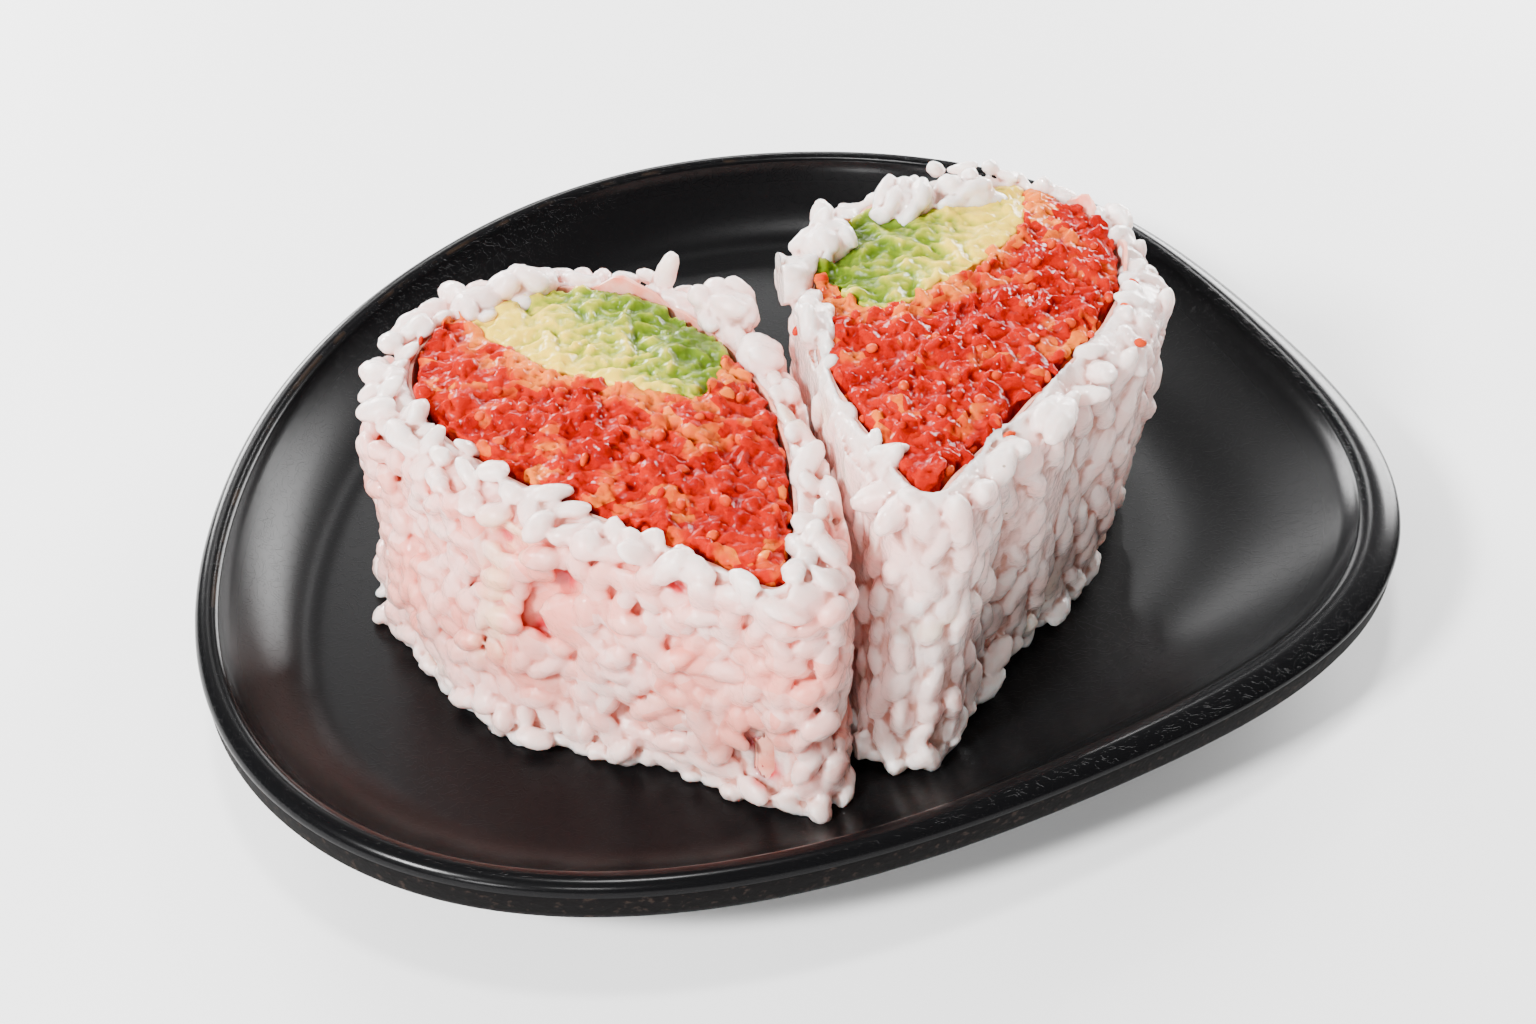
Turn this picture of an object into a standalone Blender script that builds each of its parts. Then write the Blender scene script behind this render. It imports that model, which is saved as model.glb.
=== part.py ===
"""A pebble-shaped black plate with two halves of a heart-shaped sushi roll standing on it.

Each half is a slice of one drop-shaped roll: rice outside, a thin pink wrapper inside it, and in the
wrapper a wedge of avocado beside a red seafood filling. One slice is turned over, so that the two make
a heart whose point faces -Y. Metres, +Z up, origin under the middle of the plate.
"""

import math
import random

import bmesh
import bpy
from mathutils import Matrix, Vector

# Plate: its rim in plan is a circle pushed out of round by a few slow waves: (waves a turn, depth, phase).
RIM_RADIUS = 0.0753
RIM_WAVES = (
    (2, 0.0045, 88),
    (3, 0.0036, -42),
    (4, 0.0015, -100),
    (5, 0.0004, -55),
    (6, 0.0005, -57),
)
RIM_CENTRE = (-0.0025, -0.0007)
RIM_HEIGHT = 0.0157
PLATE_FLOOR = 0.0060
LIP_WIDTH = 0.0032
LIP_DROP = 0.0015
LIP_FALL = 0.0010
EDGE_BAND = 0.0037
WELL_WALL = 0.0120
WELL_FLARE = 0.0150
FLARE_ANGLE = math.radians(-8)
FOOT_RADIUS_SHARE = 0.60
FOOT_WIDTH = 0.0040
FOOT_RECESS = 0.0012
PLATE_SIDES = 60

# Roll: the cut face of the filling is a drop, and every layer round it is that drop grown by a distance.
DROP_LENGTH = 0.0605
DROP_HALF_WIDTH = 0.0168
OUTER_BEND = 0.0220
INNER_BEND = 0.0090
DROP_SIDES = 44
TIP_ARC_STEPS = 5
FILLING_GROWTH = 0.0010
GAP = 0.0003
WRAPPER = 0.0009
RICE_ROUNDING = 0.0026

# Heart: the seam between the halves, and each half's tip and lean measured from it. The rice's outer face
# is the drop grown by a distance that changes from the tip (0) to the round end (1), at foot and at top.
SEAM_POINT = (0.0046, -0.0492)
SEAM_TURN = math.radians(11.4)
SEAM_GAP = 0.0004
LEAN = math.radians(23.5)
HALVES = {
    "left": {
        "side": -1,
        "tip_from_seam": 0.0099,
        "tip_along": -0.0013,
        "height": 0.0325,
        "seed": 11,
        "foot_outer": ((0.0, 0.0035), (0.12, 0.0063), (0.3, 0.0095), (0.5, 0.0112), (0.8, 0.0098), (1.0, 0.0080)),
        "foot_inner": ((0.0, 0.0095), (0.3, 0.0065), (1.0, 0.0075)),
        "top_outer": ((0.0, 0.0045), (0.15, 0.0066), (0.4, 0.0086), (0.8, 0.0075), (1.0, 0.0070)),
        "top_inner": ((0.0, 0.0095), (0.3, 0.0065), (0.7, 0.0080), (1.0, 0.0074)),
    },
    "right": {
        "side": 1,
        "tip_from_seam": 0.0081,
        "tip_along": 0.0036,
        "height": 0.0385,
        "seed": 23,
        "foot_outer": ((0.0, 0.0080), (0.12, 0.0062), (0.5, 0.0064), (0.8, 0.0068), (1.0, 0.0060)),
        "foot_inner": ((0.0, 0.0085), (0.3, 0.0055), (1.0, 0.0060)),
        "top_outer": ((0.0, 0.0070), (0.15, 0.0068), (0.5, 0.0078), (0.8, 0.0092), (1.0, 0.0052)),
        "top_inner": ((0.0, 0.0075), (0.3, 0.0055), (0.7, 0.0062), (1.0, 0.0048)),
    },
}
SEAM_ROUNDING_SHARE = 0.15

# Rice grains that stand out of the rice core.
GRAIN_LENGTH = 0.0066
GRAIN_WIDTH = 0.0037
GRAIN_THICKNESS = 0.0031
GRAIN_SEGMENTS = 5
GRAIN_RINGS = 4
GRAIN_ROW_STEP = 0.0058
GRAIN_COLUMN_STEP = 0.0083
GRAIN_STANDS_OUT = 0.0011
TOP_GRAIN_STEP = 0.0095

# Avocado wedge: its outline in the drop's own frame, as (towards the seam, along the drop).
AVOCADO_LINE = (
    (-0.0030, 0.0720),
    (-0.0040, 0.0545),
    (-0.0020, 0.0445),
    (0.0040, 0.0355),
    (0.0095, 0.0295),
    (0.0140, 0.0310),
    (0.0180, 0.0350),
    (0.0320, 0.0370),
    (0.0320, 0.0720),
)
FILLING_BULGE = 0.0012
FILLING_CRAG = 0.0006
AVOCADO_WAVE = 0.0005


def plain_material(name, colour, roughness):
    """A Principled BSDF of one colour."""
    material = bpy.data.materials.new(name)
    material.use_nodes = True
    shader = material.node_tree.nodes["Principled BSDF"]
    shader.inputs["Base Color"].default_value = (*colour, 1.0)
    shader.inputs["Roughness"].default_value = roughness
    shader.inputs["Metallic"].default_value = 0.0
    return material


def object_from(name, points, faces, material):
    """An object made of these points and faces, with its normals facing out."""
    mesh = bpy.data.meshes.new(name)
    mesh.from_pydata([tuple(p) for p in points], [], faces)
    work = bmesh.new()
    work.from_mesh(mesh)
    bmesh.ops.recalc_face_normals(work, faces=work.faces)
    work.to_mesh(mesh)
    work.free()
    mesh.materials.append(material)
    made = bpy.data.objects.new(name, mesh)
    bpy.context.scene.collection.objects.link(made)
    return made


def ring_faces(rings, sides):
    """Quads between rings that follow each other in a list of points, each ring with this many sides."""
    faces = []
    for ring in range(rings - 1):
        low, high = ring * sides, (ring + 1) * sides
        for i in range(sides):
            j = (i + 1) % sides
            faces.append((low + i, low + j, high + j, high + i))
    return faces


def fan_faces(first, sides, centre):
    """Triangles from one ring to a centre point."""
    return [(first + i, first + (i + 1) % sides, centre) for i in range(sides)]


def apply_modifiers(item):
    """The item's mesh is replaced by what its modifiers give."""
    graph = bpy.context.evaluated_depsgraph_get()
    result = bpy.data.meshes.new_from_object(item.evaluated_get(graph))
    item.modifiers.clear()
    item.data = result


# Plate


def rim_radius(angle):
    """Distance from the rim's centre to its outer edge, in plan."""
    radius = RIM_RADIUS
    for waves, depth, phase in RIM_WAVES:
        radius += depth * math.cos(waves * angle - math.radians(phase))
    return radius


def plate_profile(angle):
    """The plate's section at one angle, from the middle of the underside round the rim to the middle of
    the floor, as (distance from the centre, height)."""
    outer = rim_radius(angle)
    foot = outer * FOOT_RADIUS_SHARE
    flare = max(0.0, math.cos(angle - FLARE_ANGLE)) ** 2
    wall = WELL_WALL + WELL_FLARE * flare
    crest = outer - 0.5 * LIP_WIDTH
    inner = outer - LIP_WIDTH
    floor_edge = inner - wall
    lip_bottom = RIM_HEIGHT - LIP_DROP
    band_bottom = lip_bottom - EDGE_BAND
    section = [
        (foot - FOOT_WIDTH - 0.001, FOOT_RECESS),
        (foot - FOOT_WIDTH, 0.0),
        (foot, 0.0),
        (foot + 0.0015, 0.0022),
        (outer - 0.0160, 0.0042),
        (outer - 0.0050, band_bottom - 0.0024),
        (outer - 0.0008, band_bottom - 0.0004),
        (outer - 0.0002, band_bottom + 0.0006),
        (outer, lip_bottom),
        (outer - 0.15 * LIP_WIDTH, RIM_HEIGHT - 0.3 * LIP_DROP),
        (crest, RIM_HEIGHT),
        (inner, RIM_HEIGHT - LIP_FALL),
    ]
    for share in (0.22, 0.50, 0.78):
        rise = (1.0 - share) ** 2.1
        section.append((inner - wall * share, PLATE_FLOOR + rise * (RIM_HEIGHT - LIP_FALL - PLATE_FLOOR)))
    section.append((floor_edge, PLATE_FLOOR))
    return section


def make_plate(material):
    """The plate as one closed solid, lofted from its section all the way round."""
    columns = []
    for i in range(PLATE_SIDES):
        angle = 2 * math.pi * i / PLATE_SIDES
        columns.append([(r * math.cos(angle), r * math.sin(angle), z) for r, z in plate_profile(angle)])
    rings = len(columns[0])
    cx, cy = RIM_CENTRE
    points = [
        (columns[i][ring][0] + cx, columns[i][ring][1] + cy, columns[i][ring][2])
        for ring in range(rings)
        for i in range(PLATE_SIDES)
    ]
    faces = ring_faces(rings, PLATE_SIDES)
    points.append((cx, cy, FOOT_RECESS))
    faces += fan_faces(0, PLATE_SIDES, len(points) - 1)
    points.append((cx, cy, PLATE_FLOOR))
    faces += fan_faces((rings - 1) * PLATE_SIDES, PLATE_SIDES, len(points) - 1)
    plate = object_from("plate", points, faces, material)
    plate.data.shade_smooth()
    plate.data.set_sharp_from_angle(angle=math.radians(40))
    return plate


# Roll, in the drop's own frame: +X towards the seam, +Y from the tip to the round end.


def drop_point(turn):
    """A point of the drop's outline, for a turn from 0 at the tip, by the inner side, to 2 pi."""
    along = math.sin(turn / 2) ** 2
    across = DROP_HALF_WIDTH * 2.598 * along * math.cos(turn / 2)
    bend = INNER_BEND if turn < math.pi else OUTER_BEND
    return Vector((across + bend * along * (1 - along) ** 2, DROP_LENGTH * along))


def drop_outline(growth):
    """The drop grown outwards by growth(side, along), with an arc round the tip. The side runs from 1 on
    the inner side to -1 on the outer side, along from 0 at the tip to 1 at the round end."""
    outline = []
    for step in range(1, DROP_SIDES):
        turn = 2 * math.pi * step / DROP_SIDES
        ahead, behind = drop_point(turn + 0.01), drop_point(turn - 0.01)
        tangent = (ahead - behind).normalized()
        normal = Vector((tangent.y, -tangent.x))
        outline.append(drop_point(turn) + normal * growth(normal.x, math.sin(turn / 2) ** 2))
    first = drop_point(0.05).normalized()
    last = drop_point(2 * math.pi - 0.05).normalized()
    start = math.atan2(-first.x, first.y)
    end = math.atan2(last.x, -last.y)
    if end > start:
        end -= 2 * math.pi
    arc = []
    for step in range(TIP_ARC_STEPS):
        angle = end + (start - end) * (step + 0.5) / TIP_ARC_STEPS
        direction = Vector((math.cos(angle), math.sin(angle)))
        arc.append(direction * growth(direction.x, 0.0))
    return arc + outline


def even_growth(distance):
    """The same growth on every side."""
    return lambda side, along: distance


def between(table, along):
    """The value of a short table at a place along the drop."""
    for (start, low), (end, high) in zip(table, table[1:]):
        if along <= end:
            return low + (high - low) * (along - start) / (end - start)
    return table[-1][1]


def rice_growth(half, level, inset):
    """How far the rice's outer face stands out of the drop, at a level from 0 at the foot to 1 on top."""

    def growth(side, along):
        inner = between(half["foot_inner"], along) * (1 - level) + between(half["top_inner"], along) * level
        outer = between(half["foot_outer"], along) * (1 - level) + between(half["top_outer"], along) * level
        return outer + (inner - outer) * (0.5 + 0.5 * side) - inset

    return growth


def half_matrix(half):
    """From the drop's own frame to the object's frame. The right half is the mirror of the left."""
    side = half["side"]
    seam = Matrix.Translation((*SEAM_POINT, 0.0)) @ Matrix.Rotation(SEAM_TURN, 4, "Z")
    tip = Matrix.Translation((side * half["tip_from_seam"], half["tip_along"], 0.0))
    lean = Matrix.Rotation(-side * LEAN, 4, "Z")
    flip = Matrix.Diagonal((-side, 1.0, 1.0, 1.0))
    return seam @ tip @ lean @ flip


def seam_distance(point, half):
    """How far a point of the object's frame is from the seam, on this half's own side."""
    across = Vector((math.cos(SEAM_TURN), math.sin(SEAM_TURN)))
    return half["side"] * (Vector(point[:2]) - Vector(SEAM_POINT)).dot(across)


def kept_from_seam(point, half, gap):
    """The point, moved straight away from the seam where it is closer to it than the gap."""
    short = gap - seam_distance(point, half)
    if short <= 0:
        return point
    across = Vector((math.cos(SEAM_TURN), math.sin(SEAM_TURN), 0.0))
    return point + across * half["side"] * short


def placed_outline(outline, half, z, seam_gap=0.0):
    """An outline in the drop's frame as points of the object's frame at height z."""
    matrix = half_matrix(half)
    placed = [matrix @ Vector((p.x, p.y, z)) for p in outline]
    if seam_gap:
        placed = [kept_from_seam(p, half, seam_gap) for p in placed]
    return placed


def rice_wall(half, level, inset):
    """The rice's outer outline in the object's frame, flattened where the other half presses on it."""
    outline = drop_outline(rice_growth(half, level, inset))
    return placed_outline(outline, half, 0.0, SEAM_GAP + inset * SEAM_ROUNDING_SHARE)


def raised(outline, z):
    """The same outline at height z."""
    return [Vector((p.x, p.y, z)) for p in outline]


def make_tube(name, rings, material):
    """A closed tube: rings of one outline's points from the outer foot over the top to the inner foot."""
    sides = len(rings[0])
    points = [p for ring in rings for p in ring]
    faces = ring_faces(len(rings), sides)
    last = (len(rings) - 1) * sides
    for i in range(sides):
        j = (i + 1) % sides
        faces.append((last + i, last + j, j, i))
    return object_from(name, points, faces, material)


def make_grain(centre, direction, outward, collection):
    """One low ellipsoid of rice, its length along direction and its thickness along outward."""
    work = bmesh.new()
    bmesh.ops.create_uvsphere(work, u_segments=GRAIN_SEGMENTS, v_segments=GRAIN_RINGS, radius=0.5)
    size = Matrix.Diagonal((GRAIN_WIDTH, GRAIN_THICKNESS, GRAIN_LENGTH, 1.0))
    side = direction.cross(outward).normalized()
    thick = side.cross(direction).normalized()
    turn = Matrix((side, thick, direction)).transposed().to_4x4()
    bmesh.ops.transform(work, matrix=Matrix.Translation(centre) @ turn @ size, verts=work.verts)
    bmesh.ops.recalc_face_normals(work, faces=work.faces)
    mesh = bpy.data.meshes.new("grain")
    work.to_mesh(mesh)
    work.free()
    grain = bpy.data.objects.new("grain", mesh)
    collection.objects.link(grain)
    return grain


def walk(outline, step, offset):
    """Points and outward normals at an even step along a closed outline that runs anticlockwise or not."""
    middle = sum(outline, Vector((0, 0, 0))) / len(outline)
    lengths = [(outline[(i + 1) % len(outline)] - p).length for i, p in enumerate(outline)]
    count = int(sum(lengths) / step)
    spacing = sum(lengths) / count
    found = []
    index, passed = 0, 0.0
    for k in range(count):
        target = (k + offset) * spacing
        while passed + lengths[index] < target:
            passed += lengths[index]
            index += 1
        a, b = outline[index], outline[(index + 1) % len(outline)]
        along = (b - a).normalized()
        normal = Vector((along.y, -along.x, 0.0))
        point = a + along * (target - passed)
        if normal.dot(point - middle) < 0:
            normal = -normal
        found.append((point, along, normal))
    return found


def scatter_grains(half, floor, top, collection):
    """Grains in staggered rows on the wall and one round on the shoulder, leaving out any that the seam or
    the plate would cut."""
    rng = random.Random(half["seed"])
    placed = []
    rows = int((top - floor - 0.0068) / GRAIN_ROW_STEP) + 1
    for row in range(rows):
        height = floor + 0.0032 + row * GRAIN_ROW_STEP
        wall = rice_wall(half, (height - floor) / (top - floor), 0.0)
        for point, along, normal in walk(wall, GRAIN_COLUMN_STEP, 0.25 + 0.5 * (row % 2)):
            spread = rng.uniform(-0.0012, 0.0012)
            tilt = rng.uniform(-1.2, 1.2)
            direction = (along * math.cos(tilt) + Vector((0, 0, 1)) * math.sin(tilt)).normalized()
            depth = GRAIN_THICKNESS / 2 - GRAIN_STANDS_OUT * rng.uniform(0.8, 1.2)
            centre = point - normal * depth + Vector((0, 0, height + spread))
            placed.append((centre, direction, normal))
    shoulder = rice_wall(half, 1.0, 0.6 * RICE_ROUNDING)
    for point, along, normal in walk(shoulder, TOP_GRAIN_STEP, 0.3):
        swing = rng.uniform(-0.5, 0.5)
        direction = (along * math.cos(swing) + normal * math.sin(swing)).normalized()
        centre = point + Vector((0, 0, top - 0.0010))
        placed.append((centre, direction, (normal * 0.6 + Vector((0, 0, 1))).normalized()))
    kept = []
    for centre, direction, outward in placed:
        reach = GRAIN_LENGTH / 2
        low = centre.z - reach * abs(direction.z) - GRAIN_THICKNESS / 2
        close = seam_distance(centre, half) - GRAIN_WIDTH / 2 - SEAM_GAP
        inner = outward.z > 0.5 and not clear_of_wrapper(centre, direction, half)
        if low > floor + 0.0002 and close > 0.0012 and not inner:
            kept.append(make_grain(centre, direction, outward, collection))
    return kept


def clear_of_wrapper(centre, direction, half):
    """Whether a grain on the rice's shoulder stays off the wrapper and the filling."""
    reach = FILLING_GROWTH + 2 * GAP + WRAPPER + GRAIN_WIDTH / 2
    inner = placed_outline(drop_outline(even_growth(reach)), half, centre.z)
    places = (-0.5, -0.25, 0.0, 0.25, 0.5)
    return not any(inside(centre + direction * GRAIN_LENGTH * place, inner) for place in places)


def inside(point, outline):
    """Whether a point is inside a closed outline, in plan."""
    found = False
    for i, a in enumerate(outline):
        b = outline[(i + 1) % len(outline)]
        if (a.y > point.y) != (b.y > point.y):
            if point.x < a.x + (b.x - a.x) * (point.y - a.y) / (b.y - a.y):
                found = not found
    return found


def keep_largest_shell(mesh):
    """Drops sealed hollows and loose scraps that joining the grains leaves."""
    work = bmesh.new()
    work.from_mesh(mesh)
    work.faces.ensure_lookup_table()
    seen, shells = set(), []
    for face in work.faces:
        if face.index in seen:
            continue
        stack, shell = [face], []
        seen.add(face.index)
        while stack:
            current = stack.pop()
            shell.append(current)
            for edge in current.edges:
                for other in edge.link_faces:
                    if other.index not in seen:
                        seen.add(other.index)
                        stack.append(other)
        shells.append(shell)
    largest = max(shells, key=len)
    doomed = [face for shell in shells if shell is not largest for face in shell]
    bmesh.ops.delete(work, geom=doomed, context="FACES")
    work.to_mesh(mesh)
    work.free()


def make_rice(name, half, material):
    """The rice: a drop-shaped tube with rounded edges, and grains fused on all over."""
    floor = PLATE_FLOOR + GAP
    top = PLATE_FLOOR + half["height"]
    inner = drop_outline(even_growth(FILLING_GROWTH + GAP + WRAPPER + GAP))
    hole = placed_outline(inner, half, 0.0)
    foot, low = rice_wall(half, 0.0, 0.5 * RICE_ROUNDING), rice_wall(half, 0.05, 0.0)
    wall, edge = rice_wall(half, 1.0, 0.0), rice_wall(half, 1.0, RICE_ROUNDING)
    rings = [
        raised(foot, floor),
        raised(low, floor + 0.5 * RICE_ROUNDING),
        raised(wall, top - RICE_ROUNDING),
        raised(edge, top),
        raised(hole, top),
        raised(hole, floor),
    ]
    core = make_tube(name, rings, material)
    grains = bpy.data.collections.new(name + "_grains")
    bpy.context.scene.collection.children.link(grains)
    scatter_grains(half, floor, top, grains)
    join = core.modifiers.new("join", "BOOLEAN")
    join.operation = "UNION"
    join.operand_type = "COLLECTION"
    join.collection = grains
    join.solver = "MANIFOLD"
    apply_modifiers(core)
    for grain in list(grains.objects):
        bpy.data.objects.remove(grain)
    bpy.data.collections.remove(grains)
    keep_largest_shell(core.data)
    return core


def make_wrapper(name, half, material):
    """The thin pink wrapper between rice and filling, standing a little above the rice."""
    floor = PLATE_FLOOR + GAP
    top = PLATE_FLOOR + half["height"] + 0.0009
    outer = placed_outline(drop_outline(even_growth(FILLING_GROWTH + GAP + WRAPPER)), half, 0.0)
    inner = placed_outline(drop_outline(even_growth(FILLING_GROWTH + GAP)), half, 0.0)
    rings = [raised(outer, floor), raised(outer, top), raised(inner, top), raised(inner, floor)]
    return make_tube(name, rings, material)


def avocado_cutter(half, grow, top):
    """A prism over the avocado's part of the cut face, grown so as to leave a gap round it."""
    matrix = half_matrix(half)
    middle = Vector((0.012, 0.050))
    corners = []
    count = len(AVOCADO_LINE)
    steps = 3
    line = [Vector(p) for p in AVOCADO_LINE]
    for i in range(1, count - 2):
        before, a, b, after = line[i - 1], line[i], line[i + 1], line[i + 2]
        for step in range(steps):
            t = step / steps
            curve = 0.5 * (
                2 * a
                + (b - before) * t
                + (2 * before - 5 * a + 4 * b - after) * t * t
                + (3 * a - before - 3 * b + after) * t**3
            )
            corners.append(curve)
    corners = [line[0]] + corners + [line[-2], line[-1]]
    grown = [p - (middle - p).normalized() * grow for p in corners]
    low = [matrix @ Vector((p.x, p.y, 0.0)) for p in grown]
    high = [matrix @ Vector((p.x, p.y, top + 0.01)) for p in grown]
    sides = len(grown)
    faces = ring_faces(2, sides) + [tuple(range(sides))[::-1], tuple(range(sides, 2 * sides))]
    cutter = object_from("avocado_cutter", low + high, faces, bpy.data.materials["avocado"])
    cutter.hide_render = True
    cutter.display_type = "WIRE"
    return cutter


def relief(x, y, wave, depth, seed):
    """A smooth, uneven height over the cut face."""
    a = math.sin(x * wave + seed) * math.sin(y * wave * 0.87 + 2.1 * seed)
    b = math.sin((x + y) * wave * 0.53 + 1.3 * seed) * math.sin((x - y) * wave * 0.61 + seed)
    return depth * (0.6 * a + 0.6 * b)


def make_filling(name, half, material, wave, depth, rings):
    """The drop inside the wrapper as one prism with an uneven, slightly swollen top."""
    floor = PLATE_FLOOR + GAP
    top = PLATE_FLOOR + half["height"]
    outline = drop_outline(even_growth(FILLING_GROWTH))
    middle = Vector((0.0, DROP_LENGTH * 0.62))
    matrix = half_matrix(half)
    sides = len(outline)
    points = [matrix @ Vector((p.x, p.y, floor)) for p in outline]
    for ring in range(rings):
        share = 1.0 - ring / rings
        for p in outline:
            spot = middle + (p - middle) * share
            swell = FILLING_BULGE * (1 - share**3)
            z = top + swell + relief(spot.x, spot.y, wave, depth, half["seed"]) * min(1.0, 3 * (1.05 - share))
            points.append(matrix @ Vector((spot.x, spot.y, z)))
    points.append(matrix @ Vector((middle.x, middle.y, top + FILLING_BULGE)))
    faces = ring_faces(rings + 1, sides) + fan_faces(rings * sides, sides, len(points) - 1)
    points.append(matrix @ Vector((middle.x, middle.y, floor)))
    faces += fan_faces(0, sides, len(points) - 1)
    return object_from(name, points, faces, material)


def cut_with(item, cutter, operation):
    """Keeps what the cutter takes in, or what it leaves."""
    cut = item.modifiers.new("cut", "BOOLEAN")
    cut.operation = operation
    cut.object = cutter
    apply_modifiers(item)
    bpy.data.objects.remove(cutter)


def make_half(name, half, materials):
    """One half of the heart: rice, wrapper, avocado and red filling."""
    top = PLATE_FLOOR + half["height"]
    make_rice(name + "_rice", half, materials["rice"])
    make_wrapper(name + "_wrapper", half, materials["wrapper"])
    avocado = make_filling(name + "_avocado", half, materials["avocado"], 900, AVOCADO_WAVE, 5)
    cut_with(avocado, avocado_cutter(half, 0.0, top), "INTERSECT")
    red = make_filling(name + "_red_filling", half, materials["red_filling"], 1900, FILLING_CRAG, 8)
    cut_with(red, avocado_cutter(half, GAP, top), "DIFFERENCE")


def main():
    for item in list(bpy.data.objects):
        bpy.data.objects.remove(item)
    materials = {
        "plate": plain_material("plate", (0.012, 0.012, 0.013), 0.32),
        "rice": plain_material("rice", (0.86, 0.76, 0.72), 0.35),
        "wrapper": plain_material("wrapper", (0.86, 0.42, 0.34), 0.45),
        "avocado": plain_material("avocado", (0.50, 0.60, 0.18), 0.35),
        "red_filling": plain_material("red_filling", (0.86, 0.09, 0.02), 0.30),
    }
    make_plate(materials["plate"])
    for name, half in HALVES.items():
        make_half(name, half, materials)


main()
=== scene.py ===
import math

import bmesh
import bpy
from mathutils import Euler, Matrix, Vector, noise
from mathutils.bvhtree import BVHTree


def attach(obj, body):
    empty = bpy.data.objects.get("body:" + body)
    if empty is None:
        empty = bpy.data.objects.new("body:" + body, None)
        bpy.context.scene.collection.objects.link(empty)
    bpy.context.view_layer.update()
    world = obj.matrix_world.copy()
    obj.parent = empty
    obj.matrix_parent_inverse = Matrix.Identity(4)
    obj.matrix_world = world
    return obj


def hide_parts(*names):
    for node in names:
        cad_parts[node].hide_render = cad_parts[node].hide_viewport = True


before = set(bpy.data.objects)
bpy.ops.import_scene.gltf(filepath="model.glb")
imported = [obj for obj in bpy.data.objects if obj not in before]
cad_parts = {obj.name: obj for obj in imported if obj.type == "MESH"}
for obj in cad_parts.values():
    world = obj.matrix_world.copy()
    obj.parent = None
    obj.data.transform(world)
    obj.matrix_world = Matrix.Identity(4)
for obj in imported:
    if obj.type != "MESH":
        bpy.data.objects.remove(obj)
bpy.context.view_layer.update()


# Plate. Stoneware pressed in a pebble-shaped mould, glazed black inside and over the lip. The well's
# glaze is satin with fine curled wrinkles. The lip's is thick and glossy, and its crest is worn brown at the
# back left. The outer edge and the foot are left bare.
RIM_RADIUS = 0.0753
RIM_WAVES = ((2, 0.0045, 88), (3, 0.0036, -42), (4, 0.0015, -100), (5, 0.0004, -55), (6, 0.0005, -57))
RIM_CENTRE = (-0.0025, -0.0007)
RIM_HEIGHT = 0.0157
PLATE_FLOOR = 0.0060
LIP_WIDTH = 0.0032
LIP_DROP = 0.0015
LIP_FALL = 0.0010
LIP_FLARE = 0.0024
LIP_SLOPE = 0.36
LIP_STEPS = 10
LIP_CREST = 5
LIP_GLOSS_FADE = 5
WEAR_STEP = 7
WEAR_FROM = math.radians(95)
WEAR_TO = math.radians(205)
EDGE_BAND = 0.0037
WELL_WALL = 0.0120
WELL_FLARE = 0.0150
WELL_STEPS = 14
WELL_CURVE = 2.1
WELL_FLOOR_RINGS = (0.85, 0.6, 0.3)
FLARE_ANGLE = math.radians(-8)
FOOT_RADIUS_SHARE = 0.60
FOOT_WIDTH = 0.0040
FOOT_RECESS = 0.0012
PLATE_SIDES = 288
BARE_RINGS = 12

# The underside's section: (reach, height) from the foot ring's inner edge, from its outer edge and from
# the rim, then (reach, rise) from the rim and the foot of the edge band, and from the rim and its top.
FOOT_INSIDE = ((-0.0010, FOOT_RECESS), (-0.0001, 0.0002), (0.0003, 0.0))
FOOT_OUTSIDE = ((-0.0004, 0.0), (0.0001, 0.0003), (0.0015, 0.0022))
BELLY = (-0.0160, 0.0042)
EDGE_FOOT = ((-0.0050, -0.0024), (-0.0016, -0.0009), (-0.0006, -0.0001), (-0.0002, 0.0008))
EDGE_TOP = (-0.0001, -0.0006)


def colour(code):
    """An sRGB hex colour as the linear colour a shader takes."""
    parts = [int(code[i : i + 2], 16) / 255 for i in (1, 3, 5)]
    return (*[p / 12.92 if p <= 0.04045 else ((p + 0.055) / 1.055) ** 2.4 for p in parts], 1.0)


def give(node, values):
    """Gives a node its values: a setting, or a constant or another node's output for an input."""
    for key, value in values.items():
        if isinstance(value, bpy.types.NodeSocket):
            node.id_data.links.new(value, node.inputs[key])
        elif isinstance(key, str) and hasattr(node, key):
            setattr(node, key, value)
        else:
            node.inputs[key].default_value = value
    return node


def add(tree, kind, values=None):
    """Adds a node to a tree."""
    return give(tree.nodes.new(kind), values or {})


def calc(tree, operation, *values):
    """One step of arithmetic on constants and on what other nodes give."""
    return add(tree, "ShaderNodeMath", {"operation": operation, **dict(enumerate(values))}).outputs[0]


def attribute(tree, name):
    """A value that the mesh carries at each of its points."""
    return add(tree, "ShaderNodeAttribute", {"attribute_name": name}).outputs["Fac"]


def noise_at(tree, scale, detail=2.0, distortion=0.0):
    """Noise in the object's own coordinates, with scale in waves a metre."""
    place = add(tree, "ShaderNodeTexCoord").outputs["Object"]
    values = {"Scale": scale, "Detail": detail, "Distortion": distortion, "Vector": place}
    return add(tree, "ShaderNodeTexNoise", values).outputs["Fac"]


def cells_at(tree, scale):
    """Cells in the object's own coordinates, with scale in cells a metre."""
    place = add(tree, "ShaderNodeTexCoord").outputs["Object"]
    return add(tree, "ShaderNodeTexVoronoi", {"Scale": scale, "Vector": place}).outputs


def stretch(tree, value, from_min=0.0, from_max=1.0, to_min=0.0, to_max=1.0):
    """A value stretched from one range to another, and kept in it."""
    ranges = {"From Min": from_min, "From Max": from_max, "To Min": to_min, "To Max": to_max}
    return add(tree, "ShaderNodeMapRange", {**ranges, "Value": value}).outputs[0]


def blend(tree, share, low, high):
    """A mix of two colours, each a hex code or what another node gives."""
    low, high = (colour(tone) if isinstance(tone, str) else tone for tone in (low, high))
    return add(tree, "ShaderNodeMix", {"data_type": "RGBA", 0: share, 6: low, 7: high}).outputs[2]


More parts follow.
